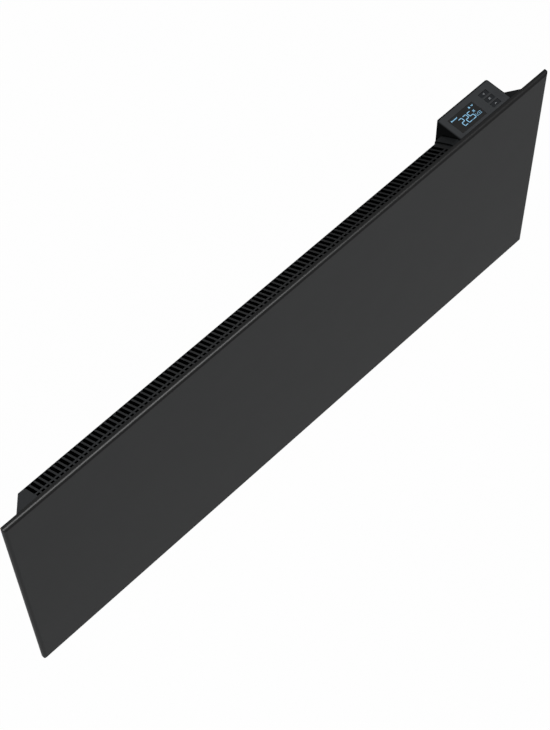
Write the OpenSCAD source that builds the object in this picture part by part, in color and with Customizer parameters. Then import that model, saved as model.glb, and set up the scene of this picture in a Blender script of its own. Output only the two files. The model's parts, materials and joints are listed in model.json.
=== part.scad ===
/* [Panel] */
// Width of the front panel
panel_w = 957; // [700:1:1400]
// Height of the front panel
panel_h = 400; // [360:1:600]
// Depth of the rim folded back round the panel
rim_depth = 7.1; // [6.6:0.1:12]
// Thickness of the panel's sheet
panel_t = 1.2; // [0.8:0.1:1.6]
// Outside radius of the bend between face and rim
face_bend_r = 4.7; // [2.5:0.1:5]
// Outside radius of the panel's four corners
panel_corner_r = 1.2; // [0.8:0.1:2]
// Distance from the wall to the panel's face
total_depth = 70; // [62:1:90]
// Height of the panel's middle above the middle of the wall screws
panel_rise = 32; // [25:1:60]

/* [Casing] */
// Distance from the panel's left end to the casing's, at the front
case_left_inset = 25; // [21:1:60]
// Distance from the panel's right end to the casing's, at the front
case_right_inset = 46.8; // [42:0.1:60]
// Distance from the panel's lower edge to the casing's, at the front
case_foot_inset = 15; // [14:1:40]
// Drop from the panel's top edge to the casing's
case_top_drop = 0.9; // [0.5:0.1:2]
// Depth of the casing behind the rim
case_depth = 29.2; // [27:0.1:34]
// How far the left end leans in on its way back
case_left_run = 24; // [10:1:30]
// How far the right end leans in on its way back
case_right_run = 21.2; // [10:0.1:23]
// How far the top and the bottom close in on their way back
case_fall = 19.5; // [17:0.1:22]
// Thickness of the casing's sheet
case_t = 1; // [0.7:0.1:1.5]
// Outside radius of the casing's rear bends
case_bend_r = 2; // [1.6:0.1:4]
// Width of the flanges that the panel is screwed to
flange_w = 13; // [11:1:16]

/* [Grille] */
// Distance from one outlet slot to the next
slot_pitch = 7.5; // [6.5:0.1:12]
// Width of an outlet slot
slot_w = 4.9; // [3:0.1:5.5]
// Distance from the panel's end to the middle of the first slot
slot_start = 61.5; // [52:0.5:120]
// Length of the short slots in front of the cross bar
short_slot_len = 3.9; // [2:0.1:5]
// Width of the cross bar between short and long slots
slot_bar_w = 2.9; // [2:0.1:5]
// Distance from one inlet slot to the next, in the underside
inlet_pitch = 15; // [12:0.5:25]
// Width of an inlet slot
inlet_w = 9; // [5:0.5:10]

/* [Element] */
// Distance from the casing's left rear corner to the finned element
element_left_gap = 49.5; // [45:0.5:120]
// Distance from the element to the casing's right rear corner, past the connections
element_right_gap = 110.5; // [107.5:0.5:180]
// Height of the element over its fins
element_h = 80; // [60:1:90]
// Depth of the element over its fins
element_depth = 16; // [12:0.5:18]
// Radius of the heated rod in the element
rod_r = 4.2; // [3:0.1:4.5]

/* [Control] */
// Width of the control box
box_w = 98.1; // [94:0.1:110]
// Depth of the control box behind the rim
box_depth = 43.6; // [43:0.1:50]
// Height of the box's rear face
box_drop = 46; // [44:1:60]
// Distance from the panel's right end to the box
box_end_gap = 68.2; // [66:0.1:120]
// Thickness of the saddle that the box stands on
saddle_t = 2.35; // [1.6:0.05:3]
// Width of the display window
lens_w = 46.5; // [40:0.1:48]
// Depth of the display window
lens_d = 28.1; // [24:0.1:29]
// Width of a button
button_w = 14.1; // [10:0.1:15]
// Depth of a button
button_d = 6.9; // [5:0.1:7.2]
// Distance from one button to the next
button_pitch = 10.7; // [9.6:0.1:12]
// Travel of a button
button_travel = 0.6; // [0.3:0.05:0.8]
// Swing of the mains rocker, from on to off
rocker_swing = 16; // [10:1:18]

/* [Wall bracket] */
// Distance between the wall screws, across
screw_span_x = 400; // [300:1:460]
// Distance between the wall screws, up and down
screw_span_z = 200; // [150:1:210]
// Radius of the wall screw holes
screw_hole_r = 2.75; // [2:0.05:3.5]
// How much shorter than the panel the bracket's uprights are
upright_short = 140; // [130:1:150]
// Width of an upright
upright_w = 36; // [32:1:44]
// Thickness of the bracket's sheet
bracket_t = 1.5; // [1.2:0.1:2]
// Height of the strips between the uprights
strip_h = 30; // [20:1:40]

/* [Fits] */
// Gap round a moving piece
move_gap = 0.3; // [0.3:0.05:0.4]
// Gap between pieces that seat on each other
seat_gap = 0.1; // [0.05:0.05:0.2]
// Radial clearance of a turning pin or a fixed shank in its hole
pin_clear = 0.05; // [0.02:0.01:0.08]

/* [Hidden] */

// Overrun of every cut past the face that it opens
over = 1;
// Planes across the heater: the face, the rim's rear edge and the casing's back
front_y = -total_depth;
rim_y = front_y + rim_depth;
back_y = rim_y + case_depth;
panel_in_y = front_y + panel_t;
// Heights of the panel's upper and lower edges
top_z = panel_rise + panel_h / 2;
foot_z = panel_rise - panel_h / 2;
// The casing's front rectangle and its rear one
case_left = -panel_w / 2 + case_left_inset;
case_right = panel_w / 2 - case_right_inset;
case_back_left = case_left + case_left_run;
case_back_right = case_right - case_right_run;
case_top_z = top_z - case_top_drop;
case_foot_z = foot_z + case_foot_inset;
case_back_top_z = case_top_z - case_fall;
case_back_foot_z = case_foot_z + case_fall;
// Stretch of the sheet's thickness where it is measured square to an axis
function lean_share(run) = sqrt(1 + pow(run / case_depth, 2));
slope_share = lean_share(case_fall);

// Height of the grille's surface, raised by a square distance, at a place across the heater
function slope_z(y, lift) = case_top_z + lift * slope_share - case_fall * (y - rim_y) / case_depth;

// Points of an arc in place of a corner, from the line p-q to the line q-s
function unit(v) = v / norm(v);
function corner(p, q, s, r, steps) =
    let(a = unit(p - q), b = unit(s - q), half = acos(a * b) / 2)
    let(mid = q + unit(a + b) * r / sin(half), from = q + a * r / tan(half))
    let(start = from - mid, turn = 180 - 2 * half, way = sign(a[0] * b[1] - a[1] * b[0]))
    [for (i = [0 : steps]) mid + turned(start, -way * turn * i / steps)];
function turned(v, ang) = [v[0] * cos(ang) - v[1] * sin(ang), v[0] * sin(ang) + v[1] * cos(ang)];

// Outline drawn in Y and Z, drawn out along X from x0 to x1
module along_x(x0, x1) {
    translate([x0, 0, 0])
        rotate([90, 0, 90])
            linear_extrude(height = x1 - x0)
                children();
}

// Box between two corners
module block(low, high) {
    translate(low)
        cube(high - low);
}

// Rods and holes along one axis
module rod_y(place, r, len) {
    translate(place)
        rotate([-90, 0, 0])
            cylinder(r = r, h = len, $fn = 48);
}
module rod_x(place, r, len) {
    translate(place)
        rotate([0, 90, 0])
            cylinder(r = r, h = len, $fn = 48);
}
module rod_z(place, r, len) {
    translate(place)
        cylinder(r = r, h = len, $fn = 48);
}

// Copy on the left of whatever stands on the right
module both_sides() {
    children();
    mirror([1, 0, 0])
        children();
}

// Front panel: one sheet with a rim folded back all round and closed at its corners

// Section across the panel, moved in by the sheet's thickness for its inside
module rim_section(half, inset) {
    r = face_bend_r - inset;
    intersection() {
        union() {
            translate([-half + inset, face_bend_r])
                square([2 * (half - inset), rim_depth]);
            translate([-half + face_bend_r, inset])
                square([2 * (half - face_bend_r), rim_depth]);
            for (x = [-half + face_bend_r, half - face_bend_r])
                translate([x, face_bend_r])
                    circle(r = r, $fn = 64);
        }
        translate([-half, 0])
            square([2 * half, rim_depth + (inset > 0 ? over : 0)]);
    }
}

module panel_form(inset) {
    intersection() {
        translate([0, 0, -panel_h / 2])
            linear_extrude(height = panel_h)
                rim_section(panel_w / 2, inset);
        along_x(-panel_w / 2, panel_w / 2)
            mirror([1, 0])
                rotate(90)
                    rim_section(panel_h / 2, inset);
    }
}

// Outline of the panel from the front, with its four corners rounded
module panel_outline() {
    half_x = panel_w / 2 - panel_corner_r;
    half_z = panel_h / 2 - panel_corner_r;
    square([2 * half_x, panel_h], center = true);
    square([panel_w, 2 * half_z], center = true);
    for (x = [-half_x, half_x], z = [-half_z, half_z])
        translate([x, z])
            circle(r = panel_corner_r, $fn = 64);
}

module front_panel() {
    color("#3a3b3c")
        translate([0, front_y, panel_rise])
            difference() {
                intersection() {
                    panel_form(0);
                    translate([0, rim_depth, 0])
                        rotate([90, 0, 0])
                            linear_extrude(height = rim_depth)
                                panel_outline();
                }
                panel_form(panel_t);
            }
}

// Places of the screws that hold the panel to the casing's flanges, as [x, z]
flange_in = flange_w / 2;
flange_xs = [case_left - flange_in, case_right + flange_in];
flange_foot_z = case_foot_z - flange_in;
flange_drop = 12;
end_screw_shares = [0.1, 0.5, 0.9];
foot_screw_shares = [0.05, 0.35, 0.65, 0.95];
flange_z0 = top_z - flange_drop;
flange_places = concat(
    [for (s = end_screw_shares, x = flange_xs) [x, flange_z0 - s * (flange_z0 - case_foot_z)]],
    [for (s = foot_screw_shares) [case_left + s * (case_right - case_left), flange_foot_z]]);

// Pan head screw M4: radii of shank, head and clearance hole, and the head's height
m4_r = 1.95;
m4_hole_r = 2.2;
m4_head_r = 3.8;
m4_head_h = 2.4;
boss_r = 3.7;

module panel_bosses() {
    len = rim_depth - panel_t - case_t;
    color("#8c8e90")
        for (p = flange_places)
            difference() {
                rod_y([p[0], panel_in_y, p[1]], boss_r, len);
                rod_y([p[0], panel_in_y + panel_t, p[1]], m4_r + pin_clear, len);
            }
}

module flange_screws() {
    grip = rim_depth - panel_t - panel_t - move_gap;
    drive_r = m4_r / 2;
    color("#9a9c9e")
        for (p = flange_places)
            difference() {
                union() {
                    rod_y([p[0], rim_y - grip, p[1]], m4_r, grip);
                    rod_y([p[0], rim_y, p[1]], m4_head_r, m4_head_h);
                }
                translate([p[0], rim_y + m4_head_h / 2, p[1]])
                    rotate([-90, 0, 0])
                        cylinder(r = drive_r, h = m4_head_h, $fn = 6);
            }
}

// Rear casing: a folded tray with leaning ends, a sloping grille and a sloping underside

// The casing's outside, moved in by a square distance
module case_plan(inset) {
    x0 = case_left + inset * lean_share(case_left_run);
    x1 = case_right - inset * lean_share(case_right_run);
    back_x0 = x0 + case_left_run * (case_depth - inset) / case_depth;
    back_x1 = x1 - case_right_run * (case_depth - inset) / case_depth;
    far_y = back_y - inset;
    r = case_bend_r - inset;
    lead = inset > 0 ? over : 0;
    right = corner([x1, rim_y], [back_x1, far_y], [x0, far_y], r, 5);
    left = corner([x1, far_y], [back_x0, far_y], [x0, rim_y], r, 5);
    polygon(concat([[x1 + lead * case_right_run / case_depth, rim_y - lead]], right, left,
        [[x0 - lead * case_left_run / case_depth, rim_y - lead]]));
}

module case_section(inset) {
    high = case_top_z - inset * slope_share;
    low = case_foot_z + inset * slope_share;
    high_back = case_back_top_z - inset * slope_share + inset * case_fall / case_depth;
    low_back = case_back_foot_z + inset * slope_share - inset * case_fall / case_depth;
    far_y = back_y - inset;
    r = case_bend_r - inset;
    lead = [-case_depth, case_fall] * over / case_depth;
    upper = corner([rim_y, high], [far_y, high_back], [far_y, 0], r, 5);
    lower = corner([far_y, 0], [far_y, low_back], [rim_y, low], r, 5);
    polygon(concat([[rim_y, high] + (inset > 0 ? lead : [0, 0])], upper, lower,
        [[rim_y, low] + (inset > 0 ? [lead[0], -lead[1]] : [0, 0])]));
}

module case_form(inset) {
    intersection() {
        translate([0, 0, foot_z])
            linear_extrude(height = panel_h)
                case_plan(inset);
        along_x(case_left - over, case_right + over)
            case_section(inset);
    }
}

// Control box and its saddle, placed from the panel's right end
box_x1 = panel_w / 2 - box_end_gap;
box_x0 = box_x1 - box_w;
box_back_y = rim_y + box_depth;
saddle_left = 13.9;
saddle_x0 = box_x0 - saddle_left;
saddle_over = 2;
saddle_foot_z = top_z - box_drop - saddle_over;

// Tub of the control, which sinks through a hole in the grille's surface
tub_wall = 1.6;
tub_side = 3.2;
tub_front = 1.8;
tub_depth = 14;
tub_x0 = box_x0 + tub_side;
tub_x1 = box_x1 - tub_side;
tub_y0 = rim_y + tub_front;
tub_z = top_z - tub_depth;
// Where the tub's floor meets the casing's slope
tub_y1 = rim_y + (tub_depth - case_top_drop + saddle_t * slope_share) * case_depth / case_fall;

// Rows of slots: the outlet's count follows from the room left of the saddle
slot_x0 = -panel_w / 2 + slot_start;
slot_end_gap = 7;
slot_rows = floor((saddle_x0 - slot_end_gap - slot_w / 2 - slot_x0) / slot_pitch) + 1;
short_y0 = rim_y + case_t + seat_gap;
short_y1 = short_y0 + short_slot_len;
long_y0 = short_y1 + slot_bar_w;
slot_back_gap = 1.4;
long_y1 = back_y - slot_back_gap;
inlet_y0 = rim_y + flange_w / 2;
inlet_span = case_back_right - case_back_left - 2 * inlet_pitch;
inlet_rows = floor(inlet_span / inlet_pitch) + 1;
inlet_x0 = (case_back_left + case_back_right - (inlet_rows - 1) * inlet_pitch) / 2;

module outlet_cuts() {
    low = case_back_top_z - case_t * slope_share - over;
    short_low = slope_z(short_y1, 0) - case_t * slope_share - over;
    for (i = [0 : slot_rows - 1])
        translate([slot_x0 + i * slot_pitch - slot_w / 2, 0, 0]) {
            block([0, long_y0, low], [slot_w, long_y1, top_z + over]);
            block([0, short_y0, short_low], [slot_w, short_y1, top_z + over]);
        }
}

module inlet_cuts() {
    high = case_back_foot_z + case_t * slope_share + over;
    for (i = [0 : inlet_rows - 1])
        translate([inlet_x0 + i * inlet_pitch - inlet_w / 2, 0, 0])
            block([0, inlet_y0, foot_z], [inlet_w, long_y1, high]);
}

// Lip turned down along the casing's top front edge, behind the panel's rim
lip_h = 9;

// Hooks of the bracket and the casing's slots for them
upright_x = screw_span_x / 2;
upright_z = (panel_h - upright_short) / 2;
side_in = upright_w / 2 - bracket_t;
flange_tip_y = back_y + move_gap + seat_gap;
hook_drop = 30;
hook_z = upright_z - hook_drop;
hook_h = 6;
hook_lip_h = 8;
hook_lip_w = 2.5;
hook_lift = 1.5;
hook_slot_w = bracket_t + 4 * move_gap;
hook_slot_h = hook_h + hook_lip_h + hook_lift;

// Latch on the top of each upright, turning about an upright pin
tongue_gap = 3.7;
tongue_y0 = back_y + tongue_gap;
latch_t = 2;
latch_y = -16;
latch_w = 8;
latch_over = 4.3;
latch_reach = latch_y - back_y + latch_over;
latch_z = upright_z + bracket_t + move_gap;
latch_slot_h = latch_t + 4 * move_gap;
latch_slot_in = latch_w / 2 + move_gap;
latch_slot_out = latch_reach;

// Cable gland, low at the casing's right end
gland_inset = 33;
gland_rise = 15.5;
gland_x = case_back_right - gland_inset;
gland_z = case_back_foot_z + gland_rise;
gland_thread_r = 7.9;
gland_bore_r = 3.75;
gland_hex_r = 10.5;
gland_wall = 5;

module rear_casing() {
    hook_x = upright_x + side_in + bracket_t / 2;
    hook_x_in = upright_x - side_in - bracket_t / 2;
    color("#343536")
        difference() {
            union() {
                difference() {
                    case_form(0);
                    case_form(case_t);
                }
                intersection() {
                    case_form(0);
                    block([case_left, rim_y, case_top_z - lip_h], [case_right, rim_y + case_t, top_z]);
                }
                difference() {
                    block([case_left - flange_w, rim_y - case_t, case_foot_z - flange_w + case_t],
                        [case_right + flange_w, rim_y, flange_z0]);
                    block([case_left + case_t, rim_y - case_t - over, case_foot_z + case_t],
                        [case_right - case_t, rim_y + over, flange_z0 + over]);
                }
            }
            outlet_cuts();
            inlet_cuts();
            for (p = flange_places)
                rod_y([p[0], rim_y - case_t - over, p[1]], m4_hole_r, case_t + 2 * over);
            block([tub_x0 - move_gap, tub_y0 - move_gap, tub_z - move_gap],
                [tub_x1 + move_gap, tub_y1 + move_gap, top_z + over]);
            both_sides() {
                for (x = [hook_x, hook_x_in])
                    block([x - hook_slot_w / 2, back_y - case_t - over,
                        hook_z + hook_h + seat_gap - hook_slot_h],
                        [x + hook_slot_w / 2, back_y + over, hook_z + hook_h + seat_gap]);
                block([upright_x - latch_slot_in, back_y - case_t - over, latch_z - 2 * move_gap],
                    [upright_x + latch_slot_out, back_y + over,
                        latch_z - 2 * move_gap + latch_slot_h]);
            }
            rod_y([gland_x, back_y - case_t - over, gland_z], gland_thread_r + seat_gap,
                case_t + 2 * over);
        }
}

// Heating element with its shield, hangers and cut-outs

element_rise = 105;
shield_t = 0.8;
shield_gap = 6;
shield_web_y = back_y - case_t - shield_gap;
element_x0 = case_back_left + element_left_gap;
element_x1 = case_back_right - element_right_gap;
element_len = element_x1 - element_x0;
shield_over = 20;
shield_half_x = element_len / 2 + shield_over;
element_x = (element_x0 + element_x1) / 2;
element_z = foot_z + element_rise;
element_forward = 0.5;
element_y = (panel_in_y + shield_web_y - shield_t) / 2 - element_forward;
shield_below = 12;
shield_above = 45;
shield_z0 = element_z - element_h / 2 - shield_below;
shield_z1 = element_z + element_h / 2 + shield_above;
shield_foot = 10;

module heat_shield() {
    color("#b9bbbd")
        along_x(element_x - shield_half_x, element_x + shield_half_x)
            polygon([
                [shield_web_y - shield_t, shield_z0],
                [shield_web_y - shield_t, shield_z1],
                [back_y - case_t - shield_t, shield_z1],
                [back_y - case_t - shield_t, shield_z1 + shield_foot],
                [back_y - case_t, shield_z1 + shield_foot],
                [back_y - case_t, shield_z1 - shield_t],
                [shield_web_y, shield_z1 - shield_t],
                [shield_web_y, shield_z0 + shield_t],
                [back_y - case_t, shield_z0 + shield_t],
                [back_y - case_t, shield_z0 - shield_foot],
                [back_y - case_t - shield_t, shield_z0 - shield_foot],
                [back_y - case_t - shield_t, shield_z0]]);
}

rivet_r = 1.6;
rivet_head_r = 3;
rivet_head_h = 0.9;
swage_w = 1;
shield_rivet_shares = [-0.94, -0.32, 0.32, 0.94];

// Rivet heads on the shield's feet, inside the casing
module shield_rivets() {
    color("#a8aaac")
        for (s = shield_rivet_shares, z = [shield_z0 - shield_foot / 2, shield_z1 + shield_foot / 2])
            rod_y([element_x + s * shield_half_x, back_y - case_t - shield_t - rivet_head_h, z],
                rivet_head_r, rivet_head_h);
}

hub_r = 6.5;
fin_t = 1.4;
fin_count = 7;
rod_over = 26;
bush_len = 14;
bush_r = 6;
tab_len = 12;
tab_r = 1.5;

// The fins' section in Y and Z: a hub, a web and cross fins, longer towards the middle
module element_section() {
    difference() {
        union() {
            circle(r = hub_r, $fn = 64);
            translate([-fin_t / 2, -element_h / 2])
                square([fin_t, element_h]);
            for (i = [0 : fin_count - 1])
                translate([-element_depth / 2, -element_h / 2 + i * (element_h - fin_t) / (fin_count - 1)])
                    square([element_depth, fin_t]);
        }
        circle(r = rod_r + pin_clear, $fn = 64);
    }
}

module element_fins() {
    color("#c3c5c7")
        translate([0, element_y, element_z])
            along_x(element_x - element_len / 2, element_x + element_len / 2)
                element_section();
}

module element_rod() {
    half = element_len / 2 + rod_over;
    color("#8a8c8e")
        rod_x([element_x - half, element_y, element_z], rod_r, 2 * half);
}

module element_bushes() {
    near = element_len / 2 + rod_over - bush_len / 2;
    color("#e6e2d8")
        for (side = [0, 1])
            translate([element_x, 0, 0])
                mirror([side, 0, 0])
                    difference() {
                        rod_x([near, element_y, element_z], bush_r, bush_len);
                        rod_x([near - over, element_y, element_z], rod_r + pin_clear, bush_len / 2 + over);
                        rod_x([near, element_y, element_z], tab_r + pin_clear, bush_len + over);
                    }
}

module element_tabs() {
    near = element_len / 2 + rod_over;
    color("#b08d57")
        for (side = [0, 1])
            translate([element_x, 0, 0])
                mirror([side, 0, 0])
                    rod_x([near, element_y, element_z], tab_r, bush_len / 2 + tab_len);
}

hanger_t = 1;
hanger_over = 4;
hanger_foot = 14;
hanger_shares = [-0.42, 0, 0.42];

// Sheet hangers on the shield, each with a window for the element
module element_hangers() {
    half_z = element_h / 2 + hanger_over;
    front = element_y - element_depth / 2 - hanger_over / 2;
    color("#9fa1a3")
        for (s = hanger_shares)
            translate([element_x + s * element_len, 0, element_z])
                difference() {
                    union() {
                        block([0, front, -half_z], [hanger_t, shield_web_y - shield_t, half_z]);
                        block([0, shield_web_y - shield_t - hanger_t, -half_z],
                            [hanger_foot, shield_web_y - shield_t, half_z]);
                        for (end = [-1, 1])
                            rod_y([hanger_foot / 2, shield_web_y - shield_t - hanger_t - rivet_head_h,
                                end * (half_z - hanger_over)], rivet_head_r, rivet_head_h);
                    }
                    block([-over, element_y - element_depth / 2 - move_gap, -element_h / 2 - move_gap],
                        [hanger_t + over, element_y + element_depth / 2 + move_gap,
                            element_h / 2 + move_gap]);
                }
}

cutout_r = 8;
cutout_h = 6.5;
cutout_cap_r = 6.5;
cutout_cap_h = 3;
cutout_rise = 24;
cutout_z = element_z + element_h / 2 + cutout_rise;
cutout_shares = [-0.3, 0.36];
blade_w = 6.3;
blade_t = 0.8;
blade_h = 8;
flange_plate_w = 26;
flange_plate_t = 0.7;

// Two bimetal discs clamped on the shield above the element
module thermal_cutouts() {
    color("#2e2e30")
        for (s = cutout_shares)
            translate([element_x + s * element_len, shield_web_y - shield_t, cutout_z])
                rotate([90, 0, 0]) {
                    translate([-flange_plate_w / 2, -cutout_r / 2, 0])
                        cube([flange_plate_w, cutout_r, flange_plate_t]);
                    rod_z([0, 0, 0], cutout_r, cutout_h);
                    rod_z([0, 0, cutout_h], cutout_cap_r, cutout_cap_h);
                    for (x = [-cutout_cap_r, cutout_cap_r - blade_t])
                        translate([x, -blade_w / 2, cutout_h])
                            cube([blade_t, blade_w, blade_h]);
                }
}

// Mains connection: terminal block, earth stud and gland at the right end

block_w = 34;
block_h = 22;
block_deep = 17;
block_x = gland_x;
block_rise = 52;
block_z = gland_z + block_rise;
pole_pitch = 10.5;
pole_r = 2.3;
pole_screw_r = 1.9;
pole_screw_h = 9;
block_y = back_y - case_t - block_deep;

module terminal_block() {
    color("#d9d6cc")
        difference() {
            block([block_x - block_w / 2, block_y, block_z - block_h / 2],
                [block_x + block_w / 2, back_y - case_t, block_z + block_h / 2]);
            for (i = [-1, 0, 1]) {
                rod_z([block_x + i * pole_pitch, block_y + block_deep / 2, block_z - block_h / 2 - over],
                    pole_r, block_h + 2 * over);
                rod_y([block_x + i * pole_pitch, block_y - over, block_z], pole_screw_r + pin_clear,
                    pole_screw_h);
            }
        }
}

module terminal_screws() {
    len = block_deep / 2 - wire_r - seat_gap;
    slot_share = 0.3;
    color("#a9864e")
        for (i = [-1, 0, 1])
            difference() {
                rod_y([block_x + i * pole_pitch, block_y, block_z], pole_screw_r, len);
                block([block_x + i * pole_pitch - pole_screw_r, block_y - over,
                    block_z - pole_screw_r * slot_share],
                    [block_x + i * pole_pitch + pole_screw_r, block_y + pole_screw_r * slot_share * 2,
                        block_z + pole_screw_r * slot_share]);
            }
}

earth_nut_r = 4;
earth_nut_h = 3.2;
earth_len = 11;
earth_gap = 16;
earth_x = block_x - block_w / 2 - earth_gap;

module earth_stud() {
    color("#b9a25c") {
        rod_y([earth_x, back_y - case_t - earth_len, block_z], m4_r, earth_len);
        translate([earth_x, back_y - case_t, block_z])
            rotate([90, 0, 0])
                difference() {
                    cylinder(r = earth_nut_r, h = earth_nut_h, $fn = 6);
                    translate([0, 0, -over])
                        cylinder(r = m4_r - pin_clear, h = earth_nut_h + 2 * over, $fn = 48);
                }
    }
}

gland_in = 9;
gland_cap_len = 13;
gland_cap_r = 8.6;

// Strain relief body through the casing's back, bored for the mains cord
module cable_gland() {
    color("#1e1f20")
        difference() {
            union() {
                rod_y([gland_x, back_y - case_t - gland_in, gland_z], gland_thread_r, gland_in + case_t);
                translate([gland_x, back_y, gland_z])
                    rotate([-90, 0, 0])
                        cylinder(r = gland_hex_r, h = gland_wall, $fn = 6);
                rod_y([gland_x, back_y + gland_wall, gland_z], gland_cap_r, gland_cap_len);
            }
            rod_y([gland_x, back_y - case_t - gland_in - over, gland_z], gland_bore_r,
                gland_in + case_t + gland_wall + gland_cap_len + 2 * over);
        }
}

module gland_nut() {
    color("#2a2b2c")
        translate([gland_x, back_y - case_t, gland_z])
            rotate([90, 0, 0])
                difference() {
                    cylinder(r = gland_hex_r, h = gland_wall, $fn = 6);
                    translate([0, 0, -over])
                        cylinder(r = gland_thread_r + pin_clear, h = gland_wall + 2 * over, $fn = 48);
                }
}

// Inner wiring: insulated leads that run along the axes, with round elbows

wire_r = 1.3;
wire_gap = 2 * wire_r + seat_gap;
grommet_r = 4.6;
grommet_hole_r = 3.2;
grommet_in_x = 12;
grommet_in_y = 10.2;
grommet_x = tub_x1 - grommet_in_x;
grommet_y = tub_y0 + grommet_in_y;
grommet_t = 1;

module lead(points) {
    for (i = [0 : len(points) - 2]) {
        run = points[i + 1] - points[i];
        flat = norm([run[0], run[1]]);
        translate(points[i])
            rotate([0, atan2(flat, run[2]), atan2(run[1], run[0])])
                cylinder(r = wire_r, h = norm(run), $fn = 24);
        if (i > 0)
            translate(points[i])
                sphere(r = wire_r, $fn = 24);
    }
}

// The three leads pass the grommet as a triangle, a pair behind a single one
pair_y = grommet_y + wire_r / 2;
single_y = pair_y - wire_gap * sqrt(3) / 2;
// Planes that the leads run in, and the ends that they meet
wire_y = block_y + block_deep / 2;
pole_x0 = block_x - pole_pitch;
pole_x1 = block_x + pole_pitch;
pole_top_z = block_z + block_h / 4;
pole_foot_z = block_z - block_h / 4;
wire_top_z = tub_z - seat_gap;
wire_turn_z = (pole_top_z + tub_z) / 2;
tab_end_x = element_len / 2 + rod_over + bush_len / 2 + tab_len;
blade_x = cutout_cap_r + seat_gap;
blade_y = element_y;
cutout_x0 = element_x + cutout_shares[0] * element_len;
cutout_x1 = element_x + cutout_shares[1] * element_len;
wire_low_z = element_z - element_h / 2 - block_h / 4;

module wire_live() {
    x = grommet_x - wire_gap / 2;
    y = pair_y;
    z = wire_turn_z + 2 * wire_gap;
    color("#7a3b22")
        lead([[pole_x0, wire_y, pole_top_z], [pole_x0, wire_y, z], [x, wire_y, z], [x, y, z],
            [x, y, wire_top_z]]);
}

module wire_neutral() {
    x = grommet_x + wire_gap / 2;
    y = pair_y;
    z = wire_turn_z;
    color("#3f6fae")
        lead([[pole_x1, wire_y, pole_top_z], [pole_x1, wire_y, z], [x, wire_y, z], [x, y, z],
            [x, y, wire_top_z]]);
}

// From the control to the right cut-out, between the cut-outs, and on to the element's left end
module wire_switched() {
    y = single_y;
    color("#2d2d2f")
        lead([[grommet_x, y, wire_top_z], [grommet_x, y, cutout_z], [grommet_x, blade_y, cutout_z],
            [cutout_x1 + blade_x, blade_y, cutout_z]]);
}

module wire_link() {
    color("#2d2d2f")
        lead([[cutout_x1 - blade_x, blade_y, cutout_z], [cutout_x0 + blade_x, blade_y, cutout_z]]);
}

module wire_feed() {
    x = element_x - tab_end_x - wire_gap;
    color("#2d2d2f")
        lead([[cutout_x0 - blade_x, blade_y, cutout_z], [x, blade_y, cutout_z], [x, blade_y, element_z],
            [element_x - tab_end_x, blade_y, element_z]]);
}

// From the element's right end to the neutral pole
module wire_return() {
    x = element_x + tab_end_x + wire_gap;
    color("#3f6fae")
        lead([[element_x + tab_end_x, element_y, element_z], [x, element_y, element_z],
            [x, element_y, wire_low_z], [pole_x1, element_y, wire_low_z],
            [pole_x1, wire_y, wire_low_z], [pole_x1, wire_y, pole_foot_z]]);
}

module wire_grommet() {
    color("#161616")
        difference() {
            rod_z([grommet_x, grommet_y, tub_z - grommet_t], grommet_r, grommet_t);
            rod_z([grommet_x, grommet_y, tub_z - grommet_t - over], grommet_hole_r, grommet_t + 2 * over);
        }
}

sensor_r = 2;
sensor_len = 16;
sensor_clip = 1.2;
sensor_gap = 40;
sensor_rise = 17.5;
sensor_x = gland_x - sensor_gap;
sensor_z = case_back_foot_z + sensor_rise;

// Room air sensor in a clip just inside the inlet
module air_sensor() {
    y = back_y - case_t - sensor_r - sensor_clip;
    color("#e8e4d4") {
        rod_z([sensor_x, y, sensor_z], sensor_r, sensor_len);
        block([sensor_x - sensor_r, y, sensor_z + sensor_len / 3],
            [sensor_x + sensor_r, back_y - case_t, sensor_z + sensor_len * 2 / 3]);
    }
}

// Control: saddle and tub, cover, display, boards and buttons

cover_t = 2;
lid_t = 2.2;
box_corner_r = 3.3;
lid_z = top_z - lid_t;
rear_floor_t = 2;
screw_in = 7;
rocker_deep = 11;
small_r = 1.3;
small_head_r = 2.6;
small_head_h = 1.6;
small_boss_r = 3.2;
rear_y0 = back_y + saddle_t + seat_gap;
control_screw_y = box_back_y - cover_t - small_boss_r - seat_gap;
control_screw_xs = [box_x0 + screw_in, box_x1 - screw_in - rocker_deep];

// Space under the casing's surface, raised by a square distance: slope, bend and back
module under_surface(lift) {
    y0 = rim_y - over;
    far_y = back_y + lift;
    high_back = slope_z(far_y, lift);
    r = case_bend_r + lift;
    bend = corner([y0, slope_z(y0, lift)], [far_y, high_back], [far_y, saddle_foot_z], r, 5);
    polygon(concat([[y0, slope_z(y0, lift)]], bend,
        [[far_y, saddle_foot_z - over], [y0, saddle_foot_z - over]]));
}

// Outline of the box from above, with its rear corners rounded
module box_plan(inset) {
    r = box_corner_r - inset;
    x0 = box_x0 + inset;
    x1 = box_x1 - inset;
    y1 = box_back_y - inset;
    translate([x0, rim_y])
        square([x1 - x0, y1 - r - rim_y]);
    translate([x0 + r, y1 - r - over])
        square([x1 - x0 - 2 * r, r + over]);
    for (x = [x0 + r, x1 - r])
        translate([x, y1 - r])
            circle(r = r, $fn = 48);
}

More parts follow.
